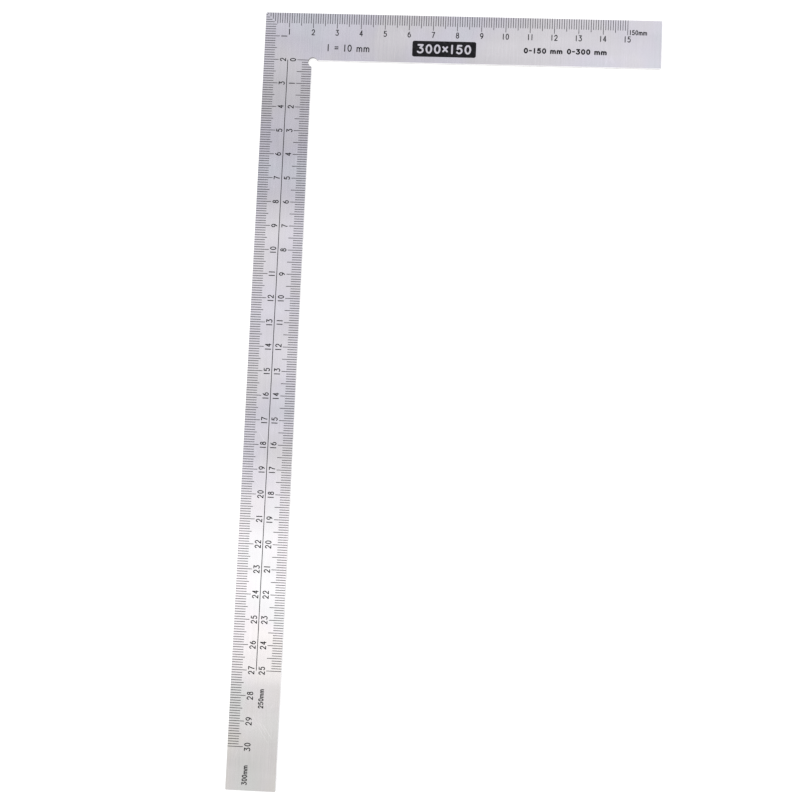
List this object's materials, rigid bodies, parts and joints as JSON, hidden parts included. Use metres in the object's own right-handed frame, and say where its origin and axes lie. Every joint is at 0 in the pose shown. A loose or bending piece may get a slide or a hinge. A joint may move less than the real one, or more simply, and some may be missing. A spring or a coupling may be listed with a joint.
{
  "type": "steel square ruler",
  "caption": "Flat L-shaped stainless steel square with etched millimetre scales on both arms, for marking out and checking right angles.",
  "frame": {"origin": "the outer corner (heel) of the square on its underside, where both outer scales have their zero", "axes": "+X along the short arm from the heel, -Y along the long arm from the heel, +Z out of the graduated face"},
  "size_m": [0.164, 0.317, 0.0012],
  "materials": {
    "stainless_steel": "fine brushed stainless sheet, light grey, with faint cool and warm clouding and softly broken edges",
    "black_enamel": "black baked enamel lying just under the face in the etched marks, satin"
  },
  "bodies": {
    "root": {"steel_blade": "stainless_steel", "centre_line_enamel": "black_enamel", "size_panel_enamel": "black_enamel"}
  },
  "joints": []
}
